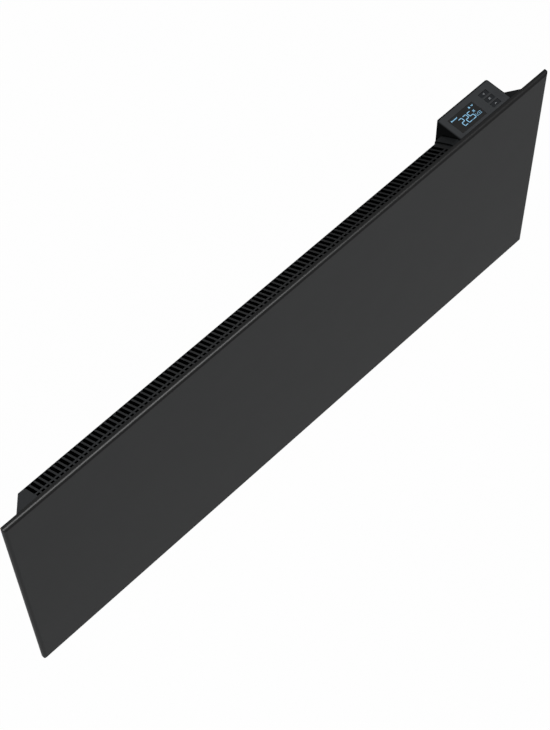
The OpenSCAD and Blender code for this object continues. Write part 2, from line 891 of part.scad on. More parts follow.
module control_base() {
    color("#1b1c1d") {
        difference() {
            union() {
                difference() {
                    intersection() {
                        along_x(saddle_x0, box_x1)
                            under_surface(saddle_t + seat_gap);
                        block([saddle_x0, rim_y, saddle_foot_z], [box_x1, box_back_y, top_z]);
                    }
                    along_x(saddle_x0 - over, box_x1 + over)
                        under_surface(seat_gap);
                    block([box_x0, rim_y - over, lid_z - seat_gap], [box_x1, box_back_y, top_z + over]);
                }
                intersection() {
                    block([tub_x0, tub_y0, tub_z], [tub_x1, tub_y1, lid_z - seat_gap]);
                    along_x(tub_x0, tub_x1)
                        under_surface(saddle_t + seat_gap);
                }
                intersection() {
                    translate([0, 0, top_z - box_drop])
                        linear_extrude(height = rear_floor_t)
                            box_plan(cover_t + seat_gap);
                    block([box_x0, back_y + saddle_t / 2, top_z - box_drop - over],
                        [box_x1, box_back_y, top_z]);
                }
            }
            block([tub_x0 + tub_wall, tub_y0 + tub_wall, tub_z + tub_wall],
                [tub_x1 - tub_wall, tub_y1 - tub_wall, top_z + over]);
            rod_z([grommet_x, grommet_y, tub_z - over], grommet_hole_r, tub_wall + 2 * over);
            for (x = control_screw_xs)
                rod_z([x, control_screw_y, top_z - box_drop - over], small_r + seat_gap,
                    rear_floor_t + 2 * over);
        }
    }
}

// Display window and buttons in the lid
lens_in_x = 10.1;
lens_in_y = 4.7;
lens_x0 = box_x0 + lens_in_x;
lens_y0 = rim_y + lens_in_y;
lens_t = 1.1;
lens_sink = 0.1;
lens_ledge = 2;
button_in_x = 20.8;
button_in_y = 8.25;
button_x = box_x1 - button_in_x;
button_y0 = rim_y + button_in_y;
function button_y(i) = button_y0 + i * button_pitch;

// Rocker on the box's right side, behind the casing
rocker_w = 8.6;
rocker_h = 13.2;
rocker_y = (rear_y0 + box_back_y - cover_t) / 2;
rocker_rise = 15;
rocker_z = top_z - box_drop + rocker_rise;
bezel_w = 9.6;
bezel_h = 15;
bezel_t = 1.2;
rocker_sink = 0.6;
rocker_x = box_x1 - rocker_sink;
rocker_r = 5.6;
rocker_face = 1.1;
rocker_pin_r = 0.8;
rocker_wall = 0.7;
rocker_floor = 3.4;
rocker_belly = 2.3;

module control_cover() {
    color("#303132")
        difference() {
            translate([0, 0, top_z - box_drop])
                linear_extrude(height = box_drop)
                    box_plan(0);
            difference() {
                along_x(box_x0 - over, box_x1 + over)
                    under_surface(saddle_t + 2 * seat_gap);
                block([box_x0 - over, rim_y - 2 * over, lid_z],
                    [box_x1 + over, box_back_y, top_z + box_drop]);
            }
            along_x(box_x0 - over, box_x1 + over)
                under_surface(2 * seat_gap);
            difference() {
                translate([0, 0, top_z - box_drop - over])
                    linear_extrude(height = box_drop - lid_t + over)
                        box_plan(cover_t);
                for (x = control_screw_xs)
                    rod_z([x, control_screw_y, top_z - box_drop + rear_floor_t + seat_gap], small_boss_r,
                        box_drop);
            }
            for (x = control_screw_xs)
                rod_z([x, control_screw_y, top_z - box_drop], small_r + pin_clear, box_drop / 2);
            block([lens_x0, lens_y0, top_z - lens_t - lens_sink],
                [lens_x0 + lens_w, lens_y0 + lens_d, top_z + over]);
            block([lens_x0 + lens_ledge, lens_y0 + lens_ledge, lid_z - over],
                [lens_x0 + lens_w - lens_ledge, lens_y0 + lens_d - lens_ledge, top_z + over]);
            for (i = [0, 1, 2])
                block([button_x - button_w / 2 - move_gap, button_y(i) - button_d / 2 - move_gap,
                    lid_z - over],
                    [button_x + button_w / 2 + move_gap, button_y(i) + button_d / 2 + move_gap,
                        top_z + over]);
            block([box_x1 - cover_t - over, rocker_y - rocker_w / 2 - seat_gap,
                rocker_z - rocker_h / 2 - seat_gap],
                [box_x1 + over, rocker_y + rocker_w / 2 + seat_gap,
                    rocker_z + rocker_h / 2 + seat_gap]);
        }
}

module control_screws() {
    len = box_drop / 3;
    color("#7d7f81")
        for (x = control_screw_xs) {
            rod_z([x, control_screw_y, top_z - box_drop], small_r, len);
            difference() {
                rod_z([x, control_screw_y, top_z - box_drop - small_head_h], small_head_r, small_head_h);
                block([x - small_head_r, control_screw_y - small_r / 4,
                    top_z - box_drop - small_head_h - over],
                    [x + small_head_r, control_screw_y + small_r / 4,
                        top_z - box_drop - small_head_h / 2]);
            }
        }
}

module display_lens() {
    color("#26282a")
        block([lens_x0 + seat_gap, lens_y0 + seat_gap, top_z - lens_t - lens_sink],
            [lens_x0 + lens_w - seat_gap, lens_y0 + lens_d - seat_gap, top_z - lens_sink]);
}

board_t = 1.6;
board_drop = 9.8;
board_z1 = top_z - board_drop;
board_in = 5.2;
board_x0 = box_x0 + board_in;
board_x1 = box_x1 - board_in;
board_y1 = control_screw_y - small_boss_r - seat_gap;
glass_t = 1.8;
glass_in = 1;
glass_front = 0.9;

// Liquid crystal cell on its light tray
module display_module() {
    x0 = lens_x0 - glass_in;
    x1 = lens_x0 + lens_w + glass_in;
    y0 = lens_y0 + glass_front;
    y1 = lens_y0 + lens_d + glass_in;
    color("#4a5450") {
        block([x0, y0, lid_z - seat_gap - glass_t], [x1, y1, lid_z - seat_gap]);
        block([x0 + glass_in, y0 + glass_in, board_z1],
            [x1 - glass_in, y1 - glass_in, lid_z - seat_gap - glass_t]);
    }
}

module logic_board() {
    color("#1f6b3a")
        block([board_x0, rim_y + board_in, board_z1 - board_t], [board_x1, board_y1, board_z1]);
}

switch_w = 6;
switch_h = 4.3;
switch_hole_r = 2;
switch_spring = 1;
stem_r = 1.65;
stem_in = 0.8;
switch_hole_h = stem_in + button_travel + switch_spring;

module tact_switches() {
    color("#202020")
        for (i = [0, 1, 2])
            difference() {
                block([button_x - switch_w / 2, button_y(i) - switch_w / 2, board_z1],
                    [button_x + switch_w / 2, button_y(i) + switch_w / 2, board_z1 + switch_h]);
                rod_z([button_x, button_y(i), board_z1 + switch_h - switch_hole_h], switch_hole_r,
                    switch_hole_h + over);
            }
}

chip_w = 14;
chip_d = 9;
chip_h = 2.4;
chip_gap = 22;

// Screened radio module under the logic board's rear half
module radio_module() {
    color("#c2c4c6")
        block([board_x0 + chip_gap, board_y1 - chip_d - glass_in, board_z1 - board_t - chip_h],
            [board_x0 + chip_gap + chip_w, board_y1 - glass_in, board_z1 - board_t]);
}

power_in = 9;
power_gap = 6;
power_z1 = board_z1 - board_t - power_gap;
power_z0 = top_z - box_drop + rear_floor_t;
power_end_gap = 2;
power_x1 = box_x1 - cover_t - rocker_deep - power_end_gap;
relay_w = 24;
relay_d = 6.4;
relay_h = 13;
relay_gap = 3;
can_r = 3;
can_len = 11;
can_gap = 8;

// Upright board behind the casing, standing on the base's rear floor
module power_board() {
    color("#1f6b3a")
        block([box_x0 + power_in, rear_y0, power_z0], [power_x1, rear_y0 + board_t, power_z1]);
}

module power_relay() {
    x0 = box_x0 + power_in + relay_gap;
    color("#2f5fa8")
        block([x0, rear_y0 + board_t, power_z0 + relay_gap],
            [x0 + relay_w, rear_y0 + board_t + relay_d, power_z0 + relay_gap + relay_h]);
}

// Capacitors and a small converter beside the relay
module power_parts() {
    x0 = box_x0 + power_in + relay_gap + relay_w + can_gap;
    color("#34363a") {
        for (i = [0, 1])
            rod_z([x0 + i * can_gap, rear_y0 + board_t + can_r, power_z0 + relay_gap], can_r, can_len);
        block([x0 + 2 * can_gap - can_r / 2, rear_y0 + board_t, power_z0 + relay_gap],
            [x0 + 3 * can_gap, rear_y0 + board_t + relay_d, power_z0 + relay_gap + can_len]);
    }
}

button_sink = 0.2;
collar_w = 1;
collar_h = 1;

// One cap: its face, a collar under the lid and a stem down to the switch
module button(i) {
    face_z = top_z - button_sink;
    collar_z = lid_z - move_gap;
    translate([button_x, button_y(i), 0]) {
        block([-button_w / 2, -button_d / 2, collar_z - collar_h], [button_w / 2, button_d / 2, face_z]);
        block([-button_w / 2 - collar_w, -button_d / 2 - collar_w, collar_z - collar_h],
            [button_w / 2 + collar_w, button_d / 2 + collar_w, collar_z]);
        rod_z([0, 0, board_z1 + switch_h - stem_in], stem_r,
            collar_z - board_z1 - switch_h + stem_in - collar_h / 2);
    }
}

module button_plus() {
    color("#26282a")
        button(2);
}
module button_menu() {
    color("#26282a")
        button(1);
}
module button_minus() {
    color("#26282a")
        button(0);
}

module rocker_frame() {
    room_w = rocker_w / 2 - rocker_wall;
    room_h = rocker_r + move_gap;
    color("#141516")
        difference() {
            union() {
                block([box_x1, rocker_y - bezel_w / 2, rocker_z - bezel_h / 2],
                    [box_x1 + bezel_t, rocker_y + bezel_w / 2, rocker_z + bezel_h / 2]);
                block([box_x1 - rocker_deep, rocker_y - rocker_w / 2, rocker_z - rocker_h / 2],
                    [box_x1, rocker_y + rocker_w / 2, rocker_z + rocker_h / 2]);
            }
            block([rocker_x - rocker_floor, rocker_y - room_w, rocker_z - room_h],
                [box_x1 + bezel_t + over, rocker_y + room_w, rocker_z + room_h]);
            rod_y([rocker_x, rocker_y - rocker_w / 2 - over, rocker_z], rocker_pin_r + pin_clear,
                rocker_w + 2 * over);
        }
}

// Rocker with two faces that meet in a shallow valley, resting with its upper half pressed
module rocker_cap() {
    half_w = rocker_w / 2 - rocker_wall - move_gap;
    half = rocker_swing / 2;
    rise = rocker_r * tan(half);
    color("#2b2c2d")
        translate([rocker_x, rocker_y, rocker_z])
            rotate([0, -half, 0]) {
                rotate([90, 0, 0])
                    translate([0, 0, -half_w])
                        linear_extrude(height = 2 * half_w)
                            intersection() {
                                circle(r = rocker_r, $fn = 96);
                                polygon([[rocker_face, 0], [rocker_face + rise, rocker_r],
                                    [-rocker_belly, rocker_r], [-rocker_belly, -rocker_r],
                                    [rocker_face + rise, -rocker_r]]);
                            }
                rod_y([0, -rocker_w / 2, 0], rocker_pin_r, rocker_w);
            }
}

// Wall bracket: two uprights and two strips, with a latch on each upright

// Section of one side of an upright, with its hook, in Y and Z
module upright_side() {
    tip = flange_tip_y;
    lip_y = back_y - case_t - move_gap - seat_gap;
    polygon([
        [0, -upright_z], [0, upright_z], [tongue_y0, upright_z],
        [tip, hook_z + hook_h + hook_lip_h], [tip, hook_z + hook_h],
        [lip_y, hook_z + hook_h], [lip_y, hook_z + hook_h + hook_lip_h],
        [lip_y - hook_lip_w, hook_z + hook_h + hook_lip_h - hook_lip_w],
        [lip_y - hook_lip_w, hook_z], [tip, hook_z], [tip, -upright_z]]);
}

bumper_r = 7;
bumper_t = 2.2;
bumper_stem_r = 2.4;
bumper_rise = 16;
bumper_z = -upright_z + bumper_rise;
shelf_y = back_y + bumper_t;
pin_hole_r = 2.5;

module upright() {
    color("#55585b")
        difference() {
            union() {
                block([-upright_w / 2, -bracket_t, -upright_z], [upright_w / 2, 0, upright_z]);
                for (x = [-upright_w / 2, side_in])
                    along_x(x, x + bracket_t)
                        upright_side();
                block([-upright_w / 2, tongue_y0, upright_z], [upright_w / 2, 0, upright_z + bracket_t]);
                block([-upright_w / 2, shelf_y, -upright_z],
                    [upright_w / 2, shelf_y + bracket_t, bumper_z + bumper_r + bracket_t]);
            }
            for (z = [-screw_span_z / 2, screw_span_z / 2])
                rod_y([0, -bracket_t - over, z], screw_hole_r, bracket_t + 2 * over);
            rod_y([0, shelf_y - over, bumper_z], bumper_stem_r + pin_clear, bracket_t + 2 * over);
            rod_z([0, latch_y, upright_z - over], pin_hole_r + pin_clear, bracket_t + 2 * over);
            for (z = strip_zs, y = strip_rivet_ys)
                rod_x([-upright_w / 2 - over, y, z], rivet_r + pin_clear, bracket_t + 2 * over);
        }
}

module upright_right() {
    translate([upright_x, 0, 0])
        upright();
}
module upright_left() {
    mirror([1, 0, 0])
        upright_right();
}

strip_inset = 35;
strip_z = screw_span_z / 2 - strip_inset;
strip_zs = [-strip_z, strip_z];
strip_ear = 20;
strip_rivet_shares = [0.75, 0.35];
strip_rivet_ys = [for (s = strip_rivet_shares) -s * strip_ear];
strip_half = upright_x - upright_w / 2;

// Strip flat on the wall, with an ear bent forward at each end
module strip(z) {
    color("#55585b")
        difference() {
            union() {
                block([-strip_half, -bracket_t, z - strip_h / 2], [strip_half, 0, z + strip_h / 2]);
                both_sides()
                    block([strip_half - bracket_t, -strip_ear, z - strip_h / 2],
                        [strip_half, 0, z + strip_h / 2]);
            }
            for (y = strip_rivet_ys)
                both_sides()
                    rod_x([strip_half - bracket_t - over, y, z], rivet_r + pin_clear, bracket_t + 2 * over);
        }
}

module strip_top() {
    strip(strip_z);
}
module strip_bottom() {
    strip(-strip_z);
}

module strip_rivets() {
    color("#a8aaac")
        both_sides()
            for (z = strip_zs, y = strip_rivet_ys) {
                rod_x([strip_half - bracket_t, y, z], rivet_r, 2 * bracket_t);
                rod_x([strip_half - bracket_t - rivet_head_h, y, z], rivet_head_r, rivet_head_h);
                rod_x([strip_half + bracket_t, y, z], rivet_head_r, rivet_head_h);
            }
}

latch_eye_r = 8;
latch_pin_r = 3;
lever_len = 13;
lever_h = 8;

// Flat latch: an arm into the casing's slot and a lever with an upturned end
module latch() {
    color("#c8a13a")
        translate([upright_x, latch_y, latch_z])
            difference() {
                union() {
                    rod_z([0, 0, 0], latch_eye_r, latch_t);
                    block([-latch_w / 2, -latch_reach, 0], [latch_w / 2, 0, latch_t]);
                    block([-lever_len, -latch_w / 2, 0], [0, latch_w / 2, latch_t]);
                    block([-lever_len - latch_t, -latch_w / 2, 0], [-lever_len, latch_w / 2, lever_h]);
                }
                rod_z([0, 0, -over], latch_pin_r + pin_clear, latch_t + 2 * over);
            }
}

module latch_right() {
    latch();
}
module latch_left() {
    mirror([1, 0, 0])
        latch();
}

// Shouldered rivets, headed above the latch and below the tongue
module latch_pins() {
    head_r = 5;
    color("#8c8e90")
        both_sides() {
            rod_z([upright_x, latch_y, upright_z - rivet_head_h], pin_hole_r + swage_w, rivet_head_h);
            rod_z([upright_x, latch_y, upright_z], pin_hole_r, bracket_t);
            rod_z([upright_x, latch_y, upright_z + bracket_t], latch_pin_r, latch_t + 2 * move_gap);
            rod_z([upright_x, latch_y, latch_z + latch_t + move_gap], head_r, bracket_t);
        }
}

// Rubber buffers that the casing leans on, plugged into the uprights' shelves
module bumpers() {
    color("#111111")
        both_sides() {
            rod_y([upright_x, back_y, bumper_z], bumper_r, bumper_t);
            rod_y([upright_x, shelf_y, bumper_z], bumper_stem_r, bracket_t);
            rod_y([upright_x, shelf_y + bracket_t, bumper_z], bumper_stem_r + swage_w, bracket_t);
        }
}

front_panel();
panel_bosses();
flange_screws();
rear_casing();
heat_shield();
shield_rivets();
element_fins();
element_rod();
element_bushes();
element_tabs();
element_hangers();
thermal_cutouts();
terminal_block();
terminal_screws();
earth_stud();
cable_gland();
gland_nut();
wire_live();
wire_neutral();
wire_switched();
wire_link();
wire_feed();
wire_return();
wire_grommet();
air_sensor();
control_base();
control_cover();
control_screws();
display_lens();
display_module();
logic_board();
tact_switches();
radio_module();
power_board();
power_relay();
power_parts();
button_plus();
button_menu();
button_minus();
rocker_frame();
rocker_cap();
upright_left();
upright_right();
strip_top();
strip_bottom();
strip_rivets();
latch_left();
latch_right();
latch_pins();
bumpers();
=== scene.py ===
"""Looks of the wall panel convector heater: finishes, display, button marks, light and camera."""
import json
import math

import bmesh
import bpy
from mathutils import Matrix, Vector


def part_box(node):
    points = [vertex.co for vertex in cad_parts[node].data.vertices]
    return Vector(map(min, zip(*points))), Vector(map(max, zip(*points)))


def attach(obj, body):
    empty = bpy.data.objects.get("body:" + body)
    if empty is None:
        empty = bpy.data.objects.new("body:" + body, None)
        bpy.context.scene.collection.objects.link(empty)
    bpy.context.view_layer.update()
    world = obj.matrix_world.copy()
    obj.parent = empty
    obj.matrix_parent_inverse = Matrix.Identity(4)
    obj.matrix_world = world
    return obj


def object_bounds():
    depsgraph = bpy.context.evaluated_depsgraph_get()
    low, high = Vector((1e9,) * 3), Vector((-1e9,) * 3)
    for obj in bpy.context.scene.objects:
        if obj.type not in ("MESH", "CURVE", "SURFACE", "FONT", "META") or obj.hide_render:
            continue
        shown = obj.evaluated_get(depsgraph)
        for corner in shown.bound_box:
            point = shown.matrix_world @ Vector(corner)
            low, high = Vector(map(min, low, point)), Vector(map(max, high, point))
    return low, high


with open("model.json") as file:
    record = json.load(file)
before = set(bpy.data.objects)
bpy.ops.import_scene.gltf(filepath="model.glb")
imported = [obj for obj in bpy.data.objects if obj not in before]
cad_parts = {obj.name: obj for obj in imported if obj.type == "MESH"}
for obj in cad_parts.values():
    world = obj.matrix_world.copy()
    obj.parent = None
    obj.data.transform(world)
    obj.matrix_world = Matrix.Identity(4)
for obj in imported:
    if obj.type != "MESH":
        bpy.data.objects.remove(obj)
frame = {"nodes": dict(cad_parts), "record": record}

cad_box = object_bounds()
mm = 0.001
nodes = frame["nodes"]

# Camera at the photograph's viewing angle, placed from the middle of the panel
panel_low, panel_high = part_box("front_panel")
panel_mid_x = (panel_low.x + panel_high.x) / 2
eye_left = 0.89798
eye_in_front = 0.92384
eye_above = 2.00994
eye_turn = (math.radians(30.289), math.radians(0.987), math.radians(-44.6025))
lens_mm = 94.16
sensor_mm = 36
nearest_seen = 0.05


def make_camera():
    data = bpy.data.cameras.new("camera")
    data.lens = lens_mm
    data.sensor_width = sensor_mm
    data.clip_start = nearest_seen
    camera = bpy.data.objects.new("camera", data)
    bpy.context.scene.collection.objects.link(camera)
    camera.location = (panel_mid_x - eye_left, panel_low.y - eye_in_front, panel_high.z + eye_above)
    camera.rotation_euler = eye_turn
    bpy.context.scene.camera = camera


# Nodes of a material

def start_material(name):
    material = bpy.data.materials.new(name)
    material.use_nodes = True
    tree = material.node_tree
    return material, tree, tree.nodes["Principled BSDF"]


def node(tree, kind, settings=(), **inputs):
    """A new node with its properties and inputs set. An input may be a value or another node's output."""
    made = tree.nodes.new("ShaderNode" + kind)
    for key, value in dict(settings).items():
        setattr(made, key, value)
    for key, value in inputs.items():
        socket = made.inputs[key.replace("_", " ")]
        if isinstance(value, bpy.types.NodeSocket):
            tree.links.new(value, socket)
        else:
            socket.default_value = value
    return made


def object_place(tree):
    return node(tree, "TexCoord").outputs["Object"]


def noise(tree, place, size, detail=2.0, stretch=None):
    """Noise with features of about this size, in metres, stretched along the axes if asked."""
    if stretch:
        place = node(tree, "Mapping", Vector=place, Scale=stretch).outputs["Vector"]
    made = node(tree, "TexNoise", Vector=place, Scale=1 / size, Detail=detail, Roughness=0.55)
    return made.outputs["Fac"]


def spread(tree, value, low, high, start=0.3, end=0.7):
    """A value from 0 to 1 spread between low and high."""
    made = node(tree, "MapRange", Value=value, From_Min=start, From_Max=end, To_Min=low, To_Max=high)
    return made.outputs["Result"]


# Places of the two colours and of the result among the sockets of a colour mix
mix_first = 6
mix_second = 7
mix_result = 2


def two_tone(tree, value, first, second):
    """From one colour to another as the value goes from 0 to 1. A colour may be another node's output."""
    made = node(tree, "Mix", {"data_type": "RGBA"})
    tree.links.new(value, made.inputs["Factor"])
    for place, colour in ((mix_first, first), (mix_second, second)):
        if isinstance(colour, bpy.types.NodeSocket):
            tree.links.new(colour, made.inputs[place])
        else:
            made.inputs[place].default_value = (*colour, 1)
    return made.outputs[mix_result]


def shade(colour, factor):
    return tuple(min(1, c * factor) for c in colour)


def bump(tree, shader, height, strength, distance):
    made = node(tree, "Bump", Height=height, Strength=strength, Distance=distance)
    tree.links.new(made.outputs["Normal"], shader.inputs["Normal"])


def maths(tree, operation, *values):
    made = node(tree, "Math", {"operation": operation})
    for socket, value in zip(made.inputs, values):
        if isinstance(value, bpy.types.NodeSocket):
            tree.links.new(value, socket)
        else:
            socket.default_value = value
    return made.outputs[0]


def between(tree, value, low, high):
    """1 where the value lies between low and high, else 0."""
    above = maths(tree, "GREATER_THAN", value, low)
    below = maths(tree, "LESS_THAN", value, high)
    return maths(tree, "MULTIPLY", above, below)


# The grille's slope, from the rim back to the casing's rear edge, and the part of it that is slotted
grille_fall = 19.5 * mm
grille_depth = 29.2 * mm
grille_left = 59 * mm
grille_edge = 0.6 * mm

# The slope's painted shade reaches from a little over its surface to a little under it
slope_over = 1 * mm
slope_skin = 0.15 * mm

# Share of that painted shade at the casing's left end, from which it grows to all of it at the middle
painted_slope_share_left = 0.76

# Depth of the room under the slots, whose painted shade is darker still, and the share of the colour that
# the slope's and the room's painted shade each keep
grille_room = 60 * mm
slope_painted_shade = 0.15
grille_painted_shade = 0.025


def under_slope(tree, place, first, last):
    """1 from one depth to another under the surface of the casing's slope, else 0."""
    casing_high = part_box("rear_casing")[1]
    axes = node(tree, "SeparateXYZ", Vector=place)
    back = maths(tree, "SUBTRACT", axes.outputs["Y"], casing_high.y - grille_depth)
    slope = maths(tree, "MULTIPLY_ADD", back, -grille_fall / grille_depth, casing_high.z)
    depth = maths(tree, "SUBTRACT", slope, axes.outputs["Z"])
    return between(tree, depth, first, last)


def under_grille(tree, place):
    """1 on the slots' sides and on the inside of the casing below them, where painted shade goes, else 0.
    """
    casing_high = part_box("rear_casing")[1]
    saddle_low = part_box("control_base")[0]
    axes = node(tree, "SeparateXYZ", Vector=place)
    across = between(tree, axes.outputs["X"], panel_low.x + grille_left, saddle_low.x)
    along = between(tree, axes.outputs["Y"], casing_high.y - grille_depth, casing_high.y - grille_edge)
    mask = under_slope(tree, place, slope_skin, grille_room)
    return maths(tree, "MULTIPLY", mask, maths(tree, "MULTIPLY", across, along))


# Height at which the upper rim of the panel starts to turn back, and the height over which painted shade
# fades in on it
rim_start = panel_high.z - 5.6 * mm
rim_shade_blend = 0.6 * mm

# Lustre of the powder coat where it has any
coat_ior = 3
coat_rough = 0.31


def powder_coat(name, colour, grain=0.7 * mm, rough=0.5, specular=0.3, gloss=0.0, grille=False, rim=1.0):
    """Matt powder coat: a fine orange peel with a faint drift of tone over the sheet.

    With grille, painted shade darkens the slope and, more, the room under its slots. With rim under 1,
    painted shade darkens the upper rim too.
    """
    material, tree, shader = start_material(name)
    place = object_place(tree)
    peel = noise(tree, place, size=grain)
    drift = noise(tree, place, size=60 * mm, detail=3)
    tone = maths(tree, "MULTIPLY_ADD", peel, 0.5, spread(tree, drift, 0.1, 0.4))
    paint = two_tone(tree, tone, shade(colour, 0.9), shade(colour, 1.12))
    if grille:
        # Painted shade on the slope's skin, growing from the casing's left end to the middle
        across = node(tree, "SeparateXYZ", Vector=place).outputs["X"]
        shade_along = spread(tree, across, painted_slope_share_left, 1, panel_low.x, panel_mid_x)
        skin_mask = under_slope(tree, place, -slope_over, slope_skin)
        painted_slope_mask = maths(tree, "MULTIPLY", shade_along, skin_mask)
        paint = two_tone(tree, painted_slope_mask, paint, shade(colour, slope_painted_shade))
        # Darker painted shade in the slots and the room under them
        paint = two_tone(tree, under_grille(tree, place), paint, shade(colour, grille_painted_shade))
    if rim < 1:
        # Painted shade on the panel's upper rim
        height = node(tree, "SeparateXYZ", Vector=place).outputs["Z"]
        folded = spread(tree, height, 0, 1, rim_start, rim_start + rim_shade_blend)
        paint = two_tone(tree, folded, paint, shade(colour, rim))
    tree.links.new(paint, shader.inputs["Base Color"])
    tree.links.new(spread(tree, peel, rough - 0.05, rough + 0.06), shader.inputs["Roughness"])
    shader.inputs["Specular IOR Level"].default_value = specular
    shader.inputs["Coat Weight"].default_value = gloss
    shader.inputs["Coat IOR"].default_value = coat_ior
    shader.inputs["Coat Roughness"].default_value = coat_rough
    bump(tree, shader, peel, strength=0.25, distance=0.05 * mm)
    return material


# Where painted shade fades on each eased edge of the control: nearest to the edge and farthest from it, in
# mm
edge_shade_spans = {"left": (0.2, 2.8), "right": (0.6, 1.4), "front": (0.2, 0.8), "rear": (1.4, 2.6)}

# Width of the painted shadow strip on the saddle along the box's left foot
foot_shadow_strip = 2.4 * mm


def unshaded_top(tree, place):
    """1 on the control's top, falling to 0 over the eased edges around it, which take painted shade."""
    low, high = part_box("control_cover")
    axes = node(tree, "SeparateXYZ", Vector=place)
    near, far = edge_shade_spans["left"]
    left = spread(tree, axes.outputs["X"], 0, 1, low.x + near * mm, low.x + far * mm)
    near, far = edge_shade_spans["right"]
    right = spread(tree, axes.outputs["X"], 1, 0, high.x - far * mm, high.x - near * mm)
    near, far = edge_shade_spans["front"]
    front = spread(tree, axes.outputs["Y"], 0, 1, low.y + near * mm, low.y + far * mm)
    near, far = edge_shade_spans["rear"]
    rear = spread(tree, axes.outputs["Y"], 1, 0, high.y - far * mm, high.y - near * mm)
    sides = maths(tree, "MULTIPLY", left, right)
    return maths(tree, "MULTIPLY", sides, maths(tree, "MULTIPLY", front, rear))


def outside_foot_shadow(tree, place):
    """0 on the saddle in a strip along the left foot of the control's box, where a shadow is painted, else
    1.
    """
    low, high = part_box("control_cover")
    across = node(tree, "SeparateXYZ", Vector=place).outputs["X"]
    return maths(tree, "SUBTRACT", 1, between(tree, across, low.x - foot_shadow_strip, (low.x + high.x) / 2))


def plastic(name, colour, grain=0.35 * mm, rough=0.48, specular=0.35, wall_shade=1.0,
            tilt=(0.72, 0.98), top=unshaded_top):
    """Moulded plastic with a fine spark-eroded texture.

    Steep faces, and faces where top gives 0, take painted shade that keeps the given share of their colour
    when that share is under 1.
    The upward part of their normal goes through the tilt range, from steep to level.
    """
    material, tree, shader = start_material(name)
    place = object_place(tree)
    cells = node(tree, "TexVoronoi", Vector=place, Scale=1 / grain).outputs["Distance"]
    flow = noise(tree, place, size=18 * mm, detail=2)
    paint = two_tone(tree, spread(tree, flow, 0, 1), shade(colour, 0.93), shade(colour, 1.07))
    if wall_shade < 1:
        # Painted shade on steep faces and where top gives 0
        normal = node(tree, "TexCoord").outputs["Normal"]
        level = node(tree, "SeparateXYZ", Vector=normal).outputs["Z"]
        unshaded_share = maths(tree, "MULTIPLY", spread(tree, level, 0, 1, *tilt), top(tree, place))
        paint = two_tone(tree, unshaded_share, shade(colour, wall_shade), paint)
    tree.links.new(paint, shader.inputs["Base Color"])
    tree.links.new(spread(tree, cells, rough - 0.04, rough + 0.06, 0, 0.8), shader.inputs["Roughness"])
    shader.inputs["Specular IOR Level"].default_value = specular
    bump(tree, shader, cells, strength=0.2, distance=0.03 * mm)
    return material


def metal(name, colour, rough=0.35, line=(1, 1, 1), grain=0.6 * mm, spangle=0.0):
    """Bare or plated metal, drawn along one axis where line says so."""
    material, tree, shader = start_material(name)
    place = object_place(tree)
    streaks = noise(tree, place, size=grain, detail=3, stretch=line)
    patches = node(tree, "TexVoronoi", Vector=place, Scale=1 / (7 * mm)).outputs["Color"]
    level = node(tree, "RGBToBW", Color=patches).outputs["Val"]
    tone = maths(tree, "MULTIPLY_ADD", level, spangle, spread(tree, streaks, 0.2, 0.8 - spangle / 2))
    tree.links.new(two_tone(tree, tone, shade(colour, 0.82), shade(colour, 1.1)),
                   shader.inputs["Base Color"])
    tree.links.new(spread(tree, streaks, rough - 0.07, rough + 0.1), shader.inputs["Roughness"])
    shader.inputs["Metallic"].default_value = 1
    bump(tree, shader, streaks, strength=0.15, distance=0.02 * mm)
    return material


def smooth(name, colour, rough=0.15, specular=0.5):
    """Smooth gloss plastic or glass-like window with faint handling marks."""
    material, tree, shader = start_material(name)
    place = object_place(tree)
    marks = noise(tree, place, size=9 * mm, detail=4)
    tree.links.new(two_tone(tree, spread(tree, marks, 0, 1), shade(colour, 0.92), shade(colour, 1.08)),
                   shader.inputs["Base Color"])
    tree.links.new(spread(tree, marks, rough, rough + 0.1), shader.inputs["Roughness"])
    shader.inputs["Specular IOR Level"].default_value = specular
    return material


def glow(name, colour, strength):
    """Lit segments of the display, a little uneven along their length."""
    material, tree, shader = start_material(name)
    uneven = noise(tree, object_place(tree), size=4 * mm)
    tree.links.new(two_tone(tree, spread(tree, uneven, 0, 1), shade(colour, 0.9), shade(colour, 1.08)),
                   shader.inputs["Emission Color"])
    shader.inputs["Emission Strength"].default_value = strength
    shader.inputs["Base Color"].default_value = (0.01, 0.012, 0.014, 1)
    shader.inputs["Roughness"].default_value = 0.4
    return material


